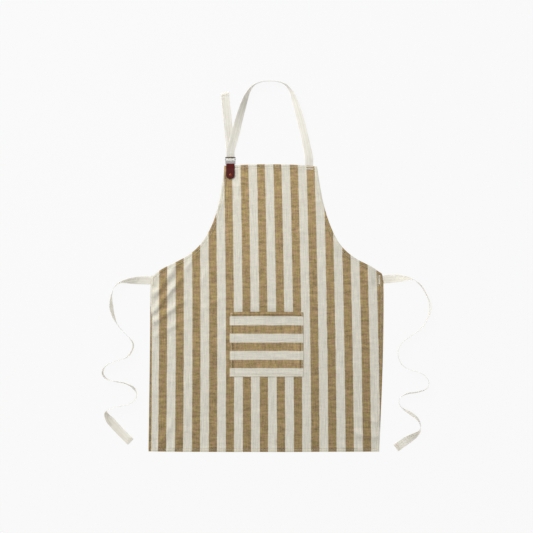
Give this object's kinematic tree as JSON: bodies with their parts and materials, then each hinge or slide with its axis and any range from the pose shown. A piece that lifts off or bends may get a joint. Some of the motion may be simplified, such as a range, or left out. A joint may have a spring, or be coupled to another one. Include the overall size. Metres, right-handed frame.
{
  "type": "bib apron",
  "caption": "Striped cotton bib apron laid flat, with a patch pocket, an adjustable webbing neck strap on a metal buckle and leather tab, and long waist ties.",
  "frame": {"origin": "centre of the apron's footprint on the surface that it lies on, measured without the waist ties", "axes": "+X to the viewer's right across the body, +Y up along the body from the bottom hem to the neck strap, +Z out of the apron's face"},
  "size_m": [0.9763, 1.1066, 0.0251],
  "materials": {
    "striped_cotton": "yarn-dyed vertical stripes, khaki and cream, plain weave",
    "pocket_cotton": "the same cloth with its stripes level",
    "webbing": "cream cotton webbing",
    "tie_tape": "cream cotton tape",
    "thread": "cream sewing thread",
    "leather": "mahogany, lightly polished",
    "copper": "copper, satin",
    "nickel": "polished nickel plate"
  },
  "bodies": {
    "apron": {"apron_panel": "striped_cotton", "pocket": "pocket_cotton", "leather_tab": "leather", "rivet_cap": "copper", "rivet_post": "copper", "neck_strap_sewn_end": "webbing", "left_waist_tie": "tie_tape", "right_waist_tie": "tie_tape", "top_seam": "thread", "left_armhole_seam": "thread", "left_side_seam": "thread", "bottom_seam": "thread", "right_side_seam": "thread", "right_armhole_seam": "thread", "pocket_seam": "thread", "pocket_mouth_seam": "thread", "neck_strap_seam": "thread", "left_tie_seam": "thread", "right_tie_seam": "thread", "left_tie_end_seam": "thread", "right_tie_end_seam": "thread"},
    "neck_loop": {"buckle_frame": "nickel", "neck_strap": "webbing", "strap_tail_seam": "thread"},
    "cross_bar": {"buckle_cross_bar": "nickel"}
  },
  "joints": [
    {"name": "neck_loop_swing", "type": "hinge", "parent": "apron", "child": "neck_loop", "pos_m": [-0.106, 0.304, 0.0045], "axis": [1, 0, 0], "range_deg": [0, 115]},
    {"name": "cross_bar_slide", "type": "slide", "parent": "neck_loop", "child": "cross_bar", "axis": [0, -1, 0], "range_m": [0, 0.0024]}
  ]
}
